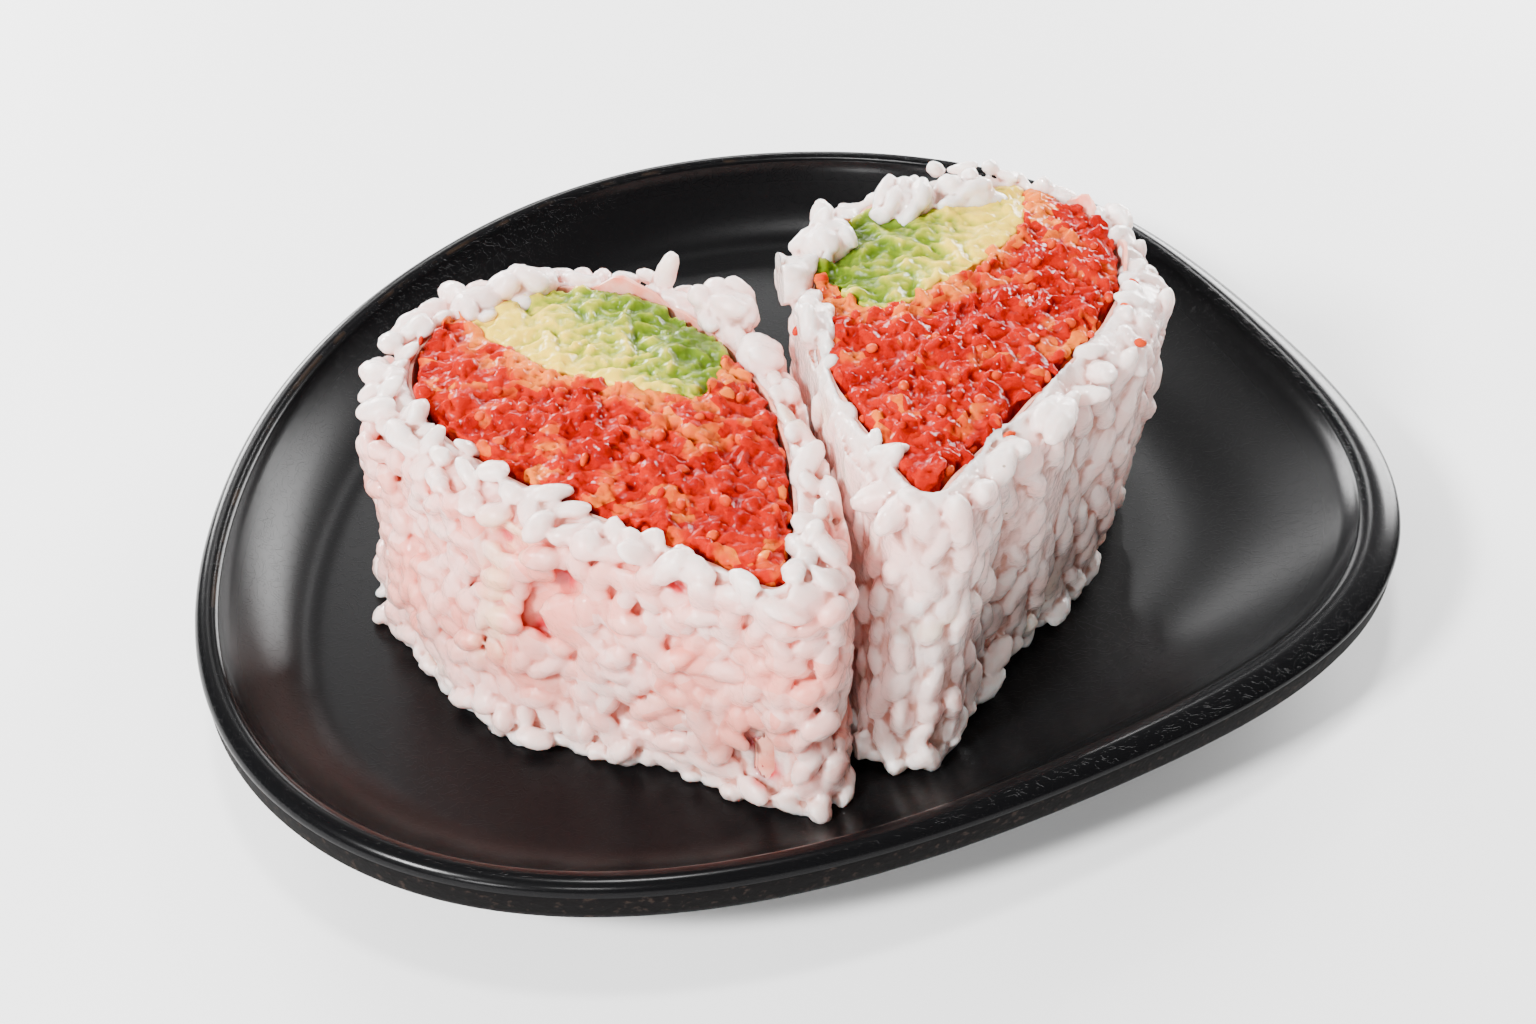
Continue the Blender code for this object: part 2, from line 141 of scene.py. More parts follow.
def ramp(tree, value, first, last, *others):
    """A colour for each value, from stops of a position and a hex code."""
    made = add(tree, "ShaderNodeValToRGB", {"Fac": value})
    stops = made.color_ramp.elements
    for stop, (position, code) in zip(stops, (first, last)):
        stop.position = position
        stop.color = colour(code)
    for position, code in others:
        stops.new(position).color = colour(code)
    return made.outputs["Color"]


def relief(tree, height, strength, distance):
    """A bumped normal."""
    values = {"Strength": strength, "Distance": distance, "Height": height}
    return add(tree, "ShaderNodeBump", values).outputs["Normal"]


def new_material(name):
    """A material with its tree and its Principled shader."""
    material = bpy.data.materials.new(name)
    material.use_nodes = True
    return material, material.node_tree, material.node_tree.nodes["Principled BSDF"]


def new_object(name, points, faces, material):
    """An object of these points and faces, faces outwards and shaded smooth."""
    mesh = bpy.data.meshes.new(name)
    mesh.from_pydata([tuple(p) for p in points], [], faces)
    work = bmesh.new()
    work.from_mesh(mesh)
    bmesh.ops.recalc_face_normals(work, faces=work.faces)
    work.to_mesh(mesh)
    work.free()
    mesh.shade_smooth()
    mesh.materials.append(material)
    made = bpy.data.objects.new(name, mesh)
    bpy.context.scene.collection.objects.link(made)
    return made


def ring_faces(rings, sides):
    """Quads between rings of points that follow each other."""
    faces = []
    for ring in range(rings - 1):
        low, high = ring * sides, (ring + 1) * sides
        for i in range(sides):
            j = (i + 1) % sides
            faces.append((low + i, low + j, high + j, high + i))
    return faces


def rim_radius(angle):
    """Distance from the rim's centre to its outer edge, in plan."""
    waves = [depth * math.cos(count * angle - math.radians(phase)) for count, depth, phase in RIM_WAVES]
    return RIM_RADIUS + sum(waves)


def plate_section(angle):
    """The plate's section at one angle as (distance, height, lip, wear): how much of the lip's thick
    gloss it has there, and how much the crest is worn."""
    outer = rim_radius(angle)
    foot = outer * FOOT_RADIUS_SHARE
    flare = max(0.0, math.cos(angle - FLARE_ANGLE)) ** 2
    wall = WELL_WALL + WELL_FLARE * flare
    lip_width = LIP_WIDTH + LIP_FLARE * flare
    inner = outer - lip_width
    worn = 1.0 if WEAR_FROM < angle < WEAR_TO else 0.0
    lip_bottom = RIM_HEIGHT - LIP_DROP
    band_bottom = lip_bottom - EDGE_BAND
    section = [(foot - FOOT_WIDTH + reach, height, 0, 0) for reach, height in FOOT_INSIDE]
    section += [(foot + reach, height, 0, 0) for reach, height in FOOT_OUTSIDE]
    section.append((outer + BELLY[0], BELLY[1], 0, 0))
    section += [(outer + reach, band_bottom + rise, 0, 0) for reach, rise in EDGE_FOOT]
    section.append((outer + EDGE_TOP[0], lip_bottom + EDGE_TOP[1], 0, 0))
    for step in range(LIP_STEPS + 1):
        turn = math.pi * step / LIP_STEPS
        across = outer - lip_width / 2 + lip_width / 2 * math.cos(turn)
        fall = (LIP_DROP if step <= LIP_CREST else LIP_FALL) * (1 - math.sin(turn))
        if 1 < step < LIP_CREST:
            fall += (LIP_SLOPE * lip_width / 2 * math.cos(turn) - fall) * flare
        section.append((across, RIM_HEIGHT - fall, 1, worn if step == WEAR_STEP else 0.0))
    for step in range(1, WELL_STEPS + 1):
        share = step / WELL_STEPS
        rise = (1.0 - share) ** WELL_CURVE
        height = PLATE_FLOOR + rise * (RIM_HEIGHT - LIP_FALL - PLATE_FLOOR)
        section.append((inner - wall * share, height, max(0.0, 1 - LIP_GLOSS_FADE * share), 0))
    for share in WELL_FLOOR_RINGS:
        section.append(((inner - wall) * share, PLATE_FLOOR, 0, 0))
    return section


glaze, tree, shader = new_material("black satin glaze on stoneware")
patchy = stretch(tree, noise_at(tree, 220.0, detail=4.0), 0.50, 0.62, to_max=0.18)
worn_crest = calc(tree, "MULTIPLY", patchy, attribute(tree, "wear"))
curl_line = calc(tree, "COMPARE", noise_at(tree, 620.0, detail=0.0, distortion=1.6), 0.5, 0.030)
give(
    shader,
    {
        "Base Color": blend(tree, worn_crest, "#0A0A0B", "#54402F"),
        "Roughness": stretch(tree, attribute(tree, "lip"), to_min=0.31, to_max=0.20),
        "Normal": relief(tree, curl_line, 1.0, 0.0004),
        "Specular IOR Level": 0.10,
    },
)

bare_clay, tree, shader = new_material("bare black stoneware")
speck = noise_at(tree, 1100.0, detail=3.0)
give(
    shader,
    {
        "Base Color": ramp(tree, speck, (0.58, "#080707"), (0.70, "#271F1B")),
        "Normal": relief(tree, speck, 0.4, 0.0002),
        "Roughness": 0.75,
        "Specular IOR Level": 0.05,
    },
)

sections = [plate_section(2 * math.pi * i / PLATE_SIDES) for i in range(PLATE_SIDES)]
rings = len(sections[0])
points = []
for ring in range(rings):
    for i, section in enumerate(sections):
        angle = 2 * math.pi * i / PLATE_SIDES
        reach, height = section[ring][:2]
        across, along = RIM_CENTRE[0] + reach * math.cos(angle), RIM_CENTRE[1] + reach * math.sin(angle)
        points.append((across, along, height))
faces = ring_faces(rings, PLATE_SIDES)
points.append((*RIM_CENTRE, FOOT_RECESS))
faces += [(i, (i + 1) % PLATE_SIDES, len(points) - 1) for i in range(PLATE_SIDES)]
points.append((*RIM_CENTRE, PLATE_FLOOR))
last = (rings - 1) * PLATE_SIDES
faces += [(last + i, last + (i + 1) % PLATE_SIDES, len(points) - 1) for i in range(PLATE_SIDES)]
plate = new_object("glazed_plate", points, faces, glaze)
plate.data.materials.append(bare_clay)
bare_rings = BARE_RINGS * PLATE_SIDES
for face in plate.data.polygons:
    underneath = face.index >= (rings - 1) * PLATE_SIDES and len(points) - 2 in face.vertices
    face.material_index = 1 if face.index < bare_rings or underneath else 0
for name, column in (("lip", 2), ("wear", 3)):
    values = plate.data.attributes.new(name, "FLOAT", "POINT")
    for ring in range(rings):
        for i, section in enumerate(sections):
            values.data[ring * PLATE_SIDES + i].value = section[ring][column]
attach(plate, "root")
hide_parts("plate")


# Rice. Each half is a slice of a drop-shaped roll, pressed in a bamboo mat: a wall of short, moist,
# sticky grains. The left half's grains are pressed flat and blushed pink by the wrapper, and the right
# half's are plumper, stand upright and are loose at the foot.
DROP_LENGTH = 0.0605
DROP_HALF_WIDTH = 0.0168
DROP_FULLNESS = 2.598
DROP_MIDDLE = 0.6
OUTER_BEND = 0.0220
INNER_BEND = 0.0090
DROP_SIDES = 150
TIP_ARC_STEPS = 14
TIP_TURN = 0.05
TANGENT_TURN = 0.01
FILLING_GROWTH = 0.0010
GAP = 0.0003
WRAPPER = 0.0009
SEAM_POINT = (0.0046, -0.0492)
SEAM_TURN = math.radians(11.4)
LEAN = math.radians(23.5)
FOOT_CLEARANCE = 0.0002
CORE_INSET = 0.0021
CORE_FOOT_TUCK = 0.001
CORE_FOOT_SEAM_GAP = 0.0012
CORE_SEAM_GAP = 0.0010
CORE_LEAST_SEAM_GAP = 0.0009
CORE_SEAM_ROUNDING = 0.3
LEAST_GROWTH = 0.0026
SHOULDER = 0.0038
SHOULDER_STEPS = 4
CUT_RINGS = ((0.0003, 0.0001), (0.0, 0.0004))
WALL_STEPS = 24
RIDGE_WAVE_ACROSS = 90
TOP_WAVE = 120
TOP_BAND = 0.0010
TOP_UNEVEN = 0.0007
HOLE_DEPTH = 0.0012
HOLE_MARGIN = 0.0012
HOLE_RED = 2.2
HOLE_RED_FADE = 1.8
WALL_END = 0.0007
RIM_START = 0.0009
FOOT_BAND = 0.0036
SEAM_BAND = 0.0014
SEAM_GRAIN_SHARE = 0.35
TOP_GRAIN = (0.0044, 0.0028, 0.0020)
TOP_GRAIN_SPACING = 0.0021
FOOT_GRAIN = (0.0050, 0.0031, 0.0028)
FOOT_GRAIN_SPACING = 0.0029
LOOSE_GRAIN = (0.0064, 0.0032, 0.0028)
RICE_VOXEL = 0.00023
RICE_TRIANGLES = 190000
RICE_CLEARANCE = 0.00015
RICE_SEAM_GAP = 0.0001
BLUSH_FADE_TOP = 0.0036
BLUSH_FADE_FOOT = 0.0090
LEAST_BLUSH = 0.30
HALVES = {
    "left": {
        "side": -1,
        "tip_from_seam": 0.0099,
        "tip_along": -0.0013,
        "height": 0.0325,
        "seed": 11,
        "foot_outer": (
            (0.0, 0.0028),
            (0.12, 0.0052),
            (0.3, 0.0095),
            (0.5, 0.0112),
            (0.8, 0.0098),
            (1.0, 0.0080),
        ),
        "foot_inner": ((0.0, 0.0095), (0.3, 0.0065), (1.0, 0.0075)),
        "top_outer": ((0.0, 0.0045), (0.15, 0.0066), (0.4, 0.0086), (0.8, 0.0075), (1.0, 0.0070)),
        "top_inner": ((0.0, 0.0095), (0.3, 0.0065), (0.7, 0.0080), (1.0, 0.0074)),
        "grain": (0.0054, 0.0034, 0.0024),
        "spacing": 0.0024,
        "spread": 1.57,
        "tilt": 0.16,
        "sink": 0.0009,
        "patch_sink": 0.0010,
        "ridge_wave": 90,
        "ridge_depth": 0.0013,
        "groove": ((-0.0285, -0.0465), 0.0030, 0.0008),
        "blush": 1.0,
        "holes": (
            ((-0.0276, -0.0440, 0.0304), 0.0017),
            ((-0.0308, -0.0440, 0.0228), 0.0013),
            ((-0.0150, -0.0508, 0.0351), 0.0011),
            ((-0.0342, -0.0417, 0.0343), 0.0010),
            ((-0.0208, -0.0494, 0.0147), 0.0012),
            ((-0.0060, -0.0534, 0.0140), 0.0019),
            ((-0.0055, -0.0552, 0.0106), 0.0019),
        ),
        "clumps": (
            ((-0.0362, 0.0010, 0.0386), (0.0096, 0.0054, 0.0056), 15),
            ((-0.0415, -0.0028, 0.0384), (0.0076, 0.0056, 0.0048), 40),
            ((-0.0106, -0.0052, 0.0396), (0.0090, 0.0066, 0.0064), -35),
            ((-0.0065, -0.0140, 0.0386), (0.0064, 0.0050, 0.0046), -60),
        ),
        "pressed": (
            ((-0.0030, -0.0496, 0.0092), (0.0086, 0.0052, 0.0064), (0, 0, 10)),
            ((-0.0104, -0.0512, 0.0080), (0.0060, 0.0040, 0.0034), (0, 0, 30)),
            ((-0.0240, -0.0470, 0.0250), (0.0150, 0.0040, 0.0090), (0, 12, -16)),
            ((-0.0120, -0.0500, 0.0270), (0.0130, 0.0040, 0.0080), (0, -10, -8)),
            ((-0.0340, -0.0400, 0.0300), (0.0110, 0.0040, 0.0080), (0, 10, -38)),
        ),
        "loose": (
            ((-0.0180, 0.0010, 0.0408), (20, -70, 10)),
            ((-0.0010, -0.0350, 0.0392), (0, -25, 60)),
        ),
        "tears": (((-0.0215, 0.0004), 0.0044, 0.0024), ((-0.0150, -0.0010), 0.0024, 0.0026)),
    },
    "right": {
        "side": 1,
        "tip_from_seam": 0.0081,
        "tip_along": 0.0036,
        "height": 0.0385,
        "seed": 23,
        "foot_outer": ((0.0, 0.0080), (0.12, 0.0062), (0.5, 0.0064), (0.8, 0.0068), (1.0, 0.0060)),
        "foot_inner": ((0.0, 0.0085), (0.3, 0.0055), (1.0, 0.0060)),
        "top_outer": ((0.0, 0.0070), (0.15, 0.0068), (0.5, 0.0078), (0.8, 0.0092), (1.0, 0.0052)),
        "top_inner": ((0.0, 0.0075), (0.3, 0.0055), (0.7, 0.0062), (1.0, 0.0048)),
        "grain": (0.0072, 0.0034, 0.0034),
        "spacing": 0.0034,
        "spread": 0.45,
        "tilt": 0.20,
        "sink": 0.0010,
        "patch_sink": 0.0006,
        "ridge_wave": 30,
        "ridge_depth": 0.0030,
        "groove": ((0.0190, -0.0375), 0.0036, 0.0038),
        "blush": 0.48,
        "holes": (),
        "clumps": (
            ((0.0022, 0.0010, 0.0452), (0.0076, 0.0060, 0.0060), 40),
            ((-0.0026, -0.0062, 0.0446), (0.0070, 0.0060, 0.0056), 70),
            ((0.0002, -0.0160, 0.0446), (0.0070, 0.0046, 0.0050), 80),
            ((0.0120, 0.0098, 0.0456), (0.0090, 0.0056, 0.0056), 20),
            ((0.0200, 0.0118, 0.0452), (0.0080, 0.0052, 0.0050), 5),
        ),
        "pressed": (),
        "loose": (
            ((0.0086, -0.0490, 0.0078), (0, 8, 20)),
            ((0.0142, -0.0450, 0.0078), (10, 0, 35)),
            ((0.0212, -0.0384, 0.0078), (0, -14, 50)),
            ((0.0222, -0.0362, 0.0104), (30, -40, 45)),
            ((0.0312, -0.0246, 0.0078), (0, -8, 70)),
            ((0.0356, -0.0176, 0.0080), (0, -16, 60)),
            ((0.0368, -0.0160, 0.0200), (0, -80, 20)),
            ((0.0258, -0.0322, 0.0440), (0, -10, 55)),
        ),
        "tears": (
            ((0.0056, 0.0046), 0.0034, 0.0026),
            ((0.0362, 0.0115), 0.0020, 0.0046),
            ((0.0400, -0.0010), 0.0040, 0.0022),
        ),
    },
}


def drop_point(turn):
    """A point of the drop's outline, for a turn from 0 at the tip, by the inner side, to 2 pi."""
    along = math.sin(turn / 2) ** 2
    across = DROP_HALF_WIDTH * DROP_FULLNESS * along * math.cos(turn / 2)
    bend = INNER_BEND if turn < math.pi else OUTER_BEND
    return Vector((across + bend * along * (1 - along) ** 2, DROP_LENGTH * along))


def drop_outline(growth):
    """The drop grown outwards by growth(side, along), with an arc round the tip."""
    outline = []
    for step in range(1, DROP_SIDES):
        turn = 2 * math.pi * step / DROP_SIDES
        tangent = (drop_point(turn + TANGENT_TURN) - drop_point(turn - TANGENT_TURN)).normalized()
        normal = Vector((tangent.y, -tangent.x))
        outline.append(drop_point(turn) + normal * growth(normal.x, math.sin(turn / 2) ** 2))
    first = drop_point(TIP_TURN).normalized()
    last = drop_point(2 * math.pi - TIP_TURN).normalized()
    start = math.atan2(-first.x, first.y)
    end = math.atan2(last.x, -last.y)
    if end > start:
        end -= 2 * math.pi
    arc = []
    for step in range(TIP_ARC_STEPS):
        angle = end + (start - end) * (step + 0.5) / TIP_ARC_STEPS
        direction = Vector((math.cos(angle), math.sin(angle)))
        arc.append(direction * growth(direction.x, 0.0))
    return arc + outline


def between(table, along):
    """The value of a short table at a place along the drop."""
    for (start, low), (end, high) in zip(table, table[1:]):
        if along <= end:
            return low + (high - low) * (along - start) / (end - start)
    return table[-1][1]


def rice_growth(half, level, inset):
    """How far the rice stands out of the drop, at a level from 0 at the foot to 1 on top."""

    def growth(side, along):
        inner = between(half["foot_inner"], along) * (1 - level) + between(half["top_inner"], along) * level
        outer = between(half["foot_outer"], along) * (1 - level) + between(half["top_outer"], along) * level
        return max(LEAST_GROWTH, outer + (inner - outer) * (0.5 + 0.5 * side) - inset)

    return growth


def evenly(distance):
    """The same growth on every side."""
    return lambda side, along: distance


def half_matrix(half):
    """From the drop's own frame to the object's. The right half is the mirror of the left."""
    side = half["side"]
    seam = Matrix.Translation((*SEAM_POINT, 0.0)) @ Matrix.Rotation(SEAM_TURN, 4, "Z")
    tip = Matrix.Translation((side * half["tip_from_seam"], half["tip_along"], 0.0))
    return seam @ tip @ Matrix.Rotation(-side * LEAN, 4, "Z") @ Matrix.Diagonal((-side, 1.0, 1.0, 1.0))


def kept_from_seam(point, half, gap):
    """The point, moved away from the seam where it is closer to it than the gap."""
    across = Vector((math.cos(SEAM_TURN), math.sin(SEAM_TURN), 0.0)) * half["side"]
    short = gap - (point - Vector((*SEAM_POINT, 0.0))).dot(across)
    return point + across * short if short > 0 else point


def ring_at(half, growth, height, seam_gap=None):
    """One ring of points round the drop at a height."""
    matrix = half_matrix(half)
    ring = [matrix @ Vector((p.x, p.y, height)) for p in drop_outline(growth)]
    return [kept_from_seam(p, half, seam_gap) for p in ring] if seam_gap is not None else ring


def tube(name, rings_of_points, material):
    """A closed tube: from the outer foot over the top to the inner foot, and back underneath."""
    sides = len(rings_of_points[0])
    points = [p for ring in rings_of_points for p in ring]
    last = (len(rings_of_points) - 1) * sides
    faces = ring_faces(len(rings_of_points), sides)
    faces += [(last + i, last + (i + 1) % sides, (i + 1) % sides, i) for i in range(sides)]
    return new_object(name, points, faces, material)


def add_lump(mesh, place, size, turn, marked=None):
    """An egg-shaped lump joined to a mesh. Turn is in degrees, and the attribute marked is 1 on it."""
    lump = bmesh.new()
    lump.from_mesh(mesh)
    shape = Matrix.LocRotScale(Vector(place), Euler([math.radians(a) for a in turn]), Vector(size) / 2)
    added = bmesh.ops.create_icosphere(lump, subdivisions=2, radius=1.0, matrix=shape)["verts"]
    if marked:
        layer = lump.verts.layers.float.get(marked)
        for vertex in added:
            vertex[layer] = 1.0
    lump.to_mesh(mesh)
    lump.free()


def new_group(name, **inputs):
    """A Geometry Nodes tree from geometry to geometry, with what its further inputs give."""
    tree = bpy.data.node_groups.new(name, "GeometryNodeTree")
    tree.interface.new_socket(name="Geometry", in_out="INPUT", socket_type="NodeSocketGeometry")
    for key, kind in inputs.items():
        title = key.replace("_", " ").title()
        tree.interface.new_socket(name=title, in_out="INPUT", socket_type="NodeSocket" + kind)
    tree.interface.new_socket(name="Geometry", in_out="OUTPUT", socket_type="NodeSocketGeometry")
    return tree, add(tree, "NodeGroupInput").outputs


def set_inputs(item, name, group, **values):
    """Gives the object a group as a modifier, with its inputs set by their sockets' identifiers."""
    modifier = item.modifiers.new(name, "NODES")
    modifier.node_group = group
    for key, value in values.items():
        for socket in group.interface.items_tree:
            if socket.name == key.replace("_", " ").title() and socket.in_out == "INPUT":
                modifier[socket.identifier] = value


def bake(item):
    """The object's mesh becomes what its modifiers give, and they go."""
    graph = bpy.context.evaluated_depsgraph_get()
    result = bpy.data.meshes.new_from_object(item.evaluated_get(graph))
    item.modifiers.clear()
    item.data = result
    result.shade_smooth()


def fuse(item, voxel, triangles, softness):
    """Fuses what the object holds into one skin, as moist food sticks, thins the mesh where it is flat
    to a number of triangles and softens its creases."""
    skin = item.modifiers.new("skin", "REMESH")
    skin.mode = "VOXEL"
    skin.voxel_size = voxel
    bake(item)
    thin = item.modifiers.new("thin", "DECIMATE")
    thin.ratio = min(1.0, triangles / (2 * len(item.data.polygons)))
    soft = item.modifiers.new("soft", "SMOOTH")
    soft.factor = 0.5
    soft.iterations = softness


scatter, given = new_group(
    "bits stuck on a surface",
    size="Vector",
    spacing="Float",
    sink="Float",
    patch_sink="Float",
    spread="Float",
    tilt="Float",
    smallest="Float",
    seed="Int",
    where="String",
    material="Material",
    keep_base="Bool",
)
bit = add(scatter, "GeometryNodeMeshIcoSphere", {"Radius": 0.5, "Subdivisions": 2})
bit_shape = add(scatter, "GeometryNodeTransform", {"Geometry": bit.outputs["Mesh"], "Scale": given["Size"]})
where = add(scatter, "GeometryNodeInputNamedAttribute", {"data_type": "FLOAT", "Name": given["Where"]})
spots = add(
    scatter,
    "GeometryNodeDistributePointsOnFaces",
    {
        "distribute_method": "POISSON",
        "Density Max": 2000000.0,
        "Mesh": given["Geometry"],
        "Distance Min": given["Spacing"],
        "Density Factor": where.outputs["Attribute"],
        "Seed": given["Seed"],
    },
)
outward = add(scatter, "FunctionNodeAlignRotationToVector", {"axis": "Z", "Vector": spots.outputs["Normal"]})
upright = add(
    scatter,
    "FunctionNodeAlignRotationToVector",
    {"axis": "X", "pivot_axis": "Z", "Vector": (0, 0, 1), "Rotation": outward.outputs["Rotation"]},
)
spread_low = calc(scatter, "MULTIPLY", given["Spread"], -1.0)
tilt_low = calc(scatter, "MULTIPLY", given["Tilt"], -1.0)
turn_low = add(scatter, "ShaderNodeCombineXYZ", {"X": tilt_low, "Y": tilt_low, "Z": spread_low})
turn_high = add(
    scatter, "ShaderNodeCombineXYZ", {"X": given["Tilt"], "Y": given["Tilt"], "Z": given["Spread"]}
)
turn = add(
    scatter,
    "FunctionNodeRandomValue",
    {"data_type": "FLOAT_VECTOR", 0: turn_low.outputs[0], 1: turn_high.outputs[0], "Seed": given["Seed"]},
)
turn_by = add(scatter, "FunctionNodeEulerToRotation", {"Euler": turn.outputs[0]})
turned = add(
    scatter,
    "FunctionNodeRotateRotation",
    {
        "rotation_space": "LOCAL",
        "Rotation": upright.outputs["Rotation"],
        "Rotate By": turn_by.outputs[0],
    },
)
bit_scale = add(
    scatter,
    "FunctionNodeRandomValue",
    {"data_type": "FLOAT_VECTOR", 1: (1.15, 1.15, 1.15), 0: given["Smallest"], "Seed": given["Seed"]},
)
bits = add(
    scatter,
    "GeometryNodeInstanceOnPoints",
    {
        "Points": spots.outputs["Points"],
        "Instance": bit_shape.outputs["Geometry"],
        "Rotation": turned.outputs["Rotation"],
        "Scale": bit_scale.outputs[0],
    },
)
sink_low = calc(scatter, "MULTIPLY", given["Sink"], -1.0)
sink = add(scatter, "FunctionNodeRandomValue", {"data_type": "FLOAT", 3: 0.0, 2: sink_low})
at = add(scatter, "GeometryNodeInputPosition").outputs[0]
patches = add(scatter, "ShaderNodeTexNoise", {"Scale": 85.0, "Detail": 1.0, "Vector": at})
patch_share = stretch(scatter, patches.outputs["Fac"], 0.45, 0.60, to_max=-1.0)
sink_by = calc(scatter, "MULTIPLY_ADD", patch_share, given["Patch Sink"], sink.outputs[1])
sunk = add(
    scatter,
    "GeometryNodeTranslateInstances",
    {
        "Local Space": True,
        "Instances": bits.outputs["Instances"],
        "Translation": add(scatter, "ShaderNodeCombineXYZ", {"Z": sink_by}).outputs[0],
    },
)
real = add(scatter, "GeometryNodeRealizeInstances", {"Geometry": sunk.outputs["Instances"]})
base = add(
    scatter,
    "GeometryNodeSwitch",
    {"input_type": "GEOMETRY", "Switch": given["Keep Base"], "True": given["Geometry"]},
)
joined = add(scatter, "GeometryNodeJoinGeometry")
scatter.links.new(real.outputs["Geometry"], joined.inputs["Geometry"])
scatter.links.new(base.outputs["Output"], joined.inputs["Geometry"])
coated = add(
    scatter,
    "GeometryNodeSetMaterial",
    {"Geometry": joined.outputs["Geometry"], "Material": given["Material"]},
)
add(scatter, "NodeGroupOutput", {"Geometry": coated.outputs["Geometry"]})


def stick_bits(item, name, material, **sizes):
    """Bits of one kind stuck on the object, as real geometry. Sizes are the tree's own inputs, and the
    bits sit where the attribute called where is 1."""
    usual = {"patch_sink": 0.0, "where": "crust", "material": material, "keep_base": True}
    set_inputs(item, name, scatter, **{**usual, **sizes})


def mark_crust(mesh, wanted):
    """Writes where bits may sit: 1 on each point that wanted(point, normal) accepts."""
    values = mesh.attributes.get("crust") or mesh.attributes.new("crust", "FLOAT", "POINT")
    for vertex in mesh.vertices:
        values.data[vertex.index].value = 1.0 if wanted(vertex.co, vertex.normal) else 0.0


uneven, given = new_group(
    "uneven moist surface",
    wave="Float",
    depth="Float",
    fine_wave="Float",
    fine_depth="Float",
    hollow_reach="Int",
    hollow_depth="Float",
    material="Material",
)
here = add(uneven, "GeometryNodeInputPosition").outputs[0]
facing = add(uneven, "GeometryNodeInputNormal").outputs[0]
pushes = []
for size, detail, distortion in (("", 2.0, 0.8), ("Fine ", 3.0, 0.4)):
    values = {"Detail": detail, "Distortion": distortion, "Vector": here, "Scale": given[size + "Wave"]}
    wave = add(uneven, "ShaderNodeTexNoise", values)
    centred = calc(uneven, "SUBTRACT", wave.outputs["Fac"], 0.5)
    pushes.append(calc(uneven, "MULTIPLY", centred, given[size + "Depth"]))
push_by = {"operation": "SCALE", 0: facing, "Scale": calc(uneven, "ADD", *pushes)}
push = add(uneven, "ShaderNodeVectorMath", push_by)
moved = add(uneven, "GeometryNodeSetPosition", {"Geometry": given["Geometry"], "Offset": push.outputs[0]})
around = add(
    uneven,
    "GeometryNodeBlurAttribute",
    {"data_type": "FLOAT_VECTOR", "Value": here, "Iterations": given["Hollow Reach"]},
)
below = add(uneven, "ShaderNodeVectorMath", {"operation": "SUBTRACT", 0: around.outputs[0], 1: here})
below_by = add(uneven, "ShaderNodeVectorMath", {"operation": "DOT_PRODUCT", 0: below.outputs[0], 1: facing})
hollow = calc(uneven, "DIVIDE", below_by.outputs["Value"], given["Hollow Depth"])
marked = add(
    uneven,
    "GeometryNodeStoreNamedAttribute",
    {
        "data_type": "FLOAT",
        "domain": "POINT",
        "Name": "hollow",
        "Geometry": moved.outputs["Geometry"],
        "Value": hollow,
    },
)
finished = add(
    uneven,
    "GeometryNodeSetMaterial",
    {"Geometry": marked.outputs["Geometry"], "Material": given["Material"]},
)
add(uneven, "NodeGroupOutput", {"Geometry": finished.outputs["Geometry"]})


def roughen(item, **values):
    """Pushes the surface in and out with two sizes of noise, and marks how hollow it is at each point:
    1 where it lies hollow_depth below what surrounds it."""
    set_inputs(item, "uneven", uneven, **values)


# Cooked starch: light sinks into it, it is wet and glossy, and the wrapper's dye blushes its sides. The
# gaps between grains are painted darker as shade, tinted pink to red as the dye and the sauce gather there.
rice_material, tree, shader = new_material("cooked sushi rice")
blush = attribute(tree, "blush")
cloud = noise_at(tree, 75.0, detail=3.0)
one_grain = add(tree, "ShaderNodeSeparateColor", {"Color": cells_at(tree, 240.0)["Color"]}).outputs[0]
uneven_blush = calc(tree, "MULTIPLY_ADD", one_grain, 0.35, cloud)
dye = calc(tree, "MULTIPLY", stretch(tree, uneven_blush, 0.35, 0.85, to_min=0.45), blush)
starch = blend(tree, dye, "#F4EBE6", "#F29888")
stain = stretch(tree, noise_at(tree, 42.0, distortion=1.0), 0.66, 0.76, to_max=0.4)
stained = blend(tree, stain, starch, "#EAD9A4")
# Painted shade: the hollows between grains are darkened, brown where the rice is not blushed and pink to red
# where it is.
gap = stretch(tree, attribute(tree, "hollow"), 0.10, 1.0, to_max=0.9)
gap_shade_tone = blend(tree, stretch(tree, cloud, 0.55, 0.70), "#E08E7E", "#CC4438")
with_gap_shade = blend(tree, gap, stained, blend(tree, blush, "#A8806C", gap_shade_tone))
fleck = stretch(tree, cells_at(tree, 150.0)["Distance"], 0.020, 0.035, to_min=0.8, to_max=0.0)
flecked = blend(tree, fleck, with_gap_shade, "#7A5A30")
give(
    shader,
    {
        "Base Color": blend(tree, attribute(tree, "hole"), flecked, "#C42030"),
        "Coat Normal": relief(tree, noise_at(tree, 1000.0), 1.0, 0.0007),
        "Roughness": 0.34,
        "IOR": 1.40,
        "Coat Weight": 0.8,
        "Coat Roughness": 0.08,
        "Subsurface Weight": 0.85,
        "Subsurface Radius": (1.0, 0.72, 0.64),
        "Subsurface Scale": 0.0024,
    },
)

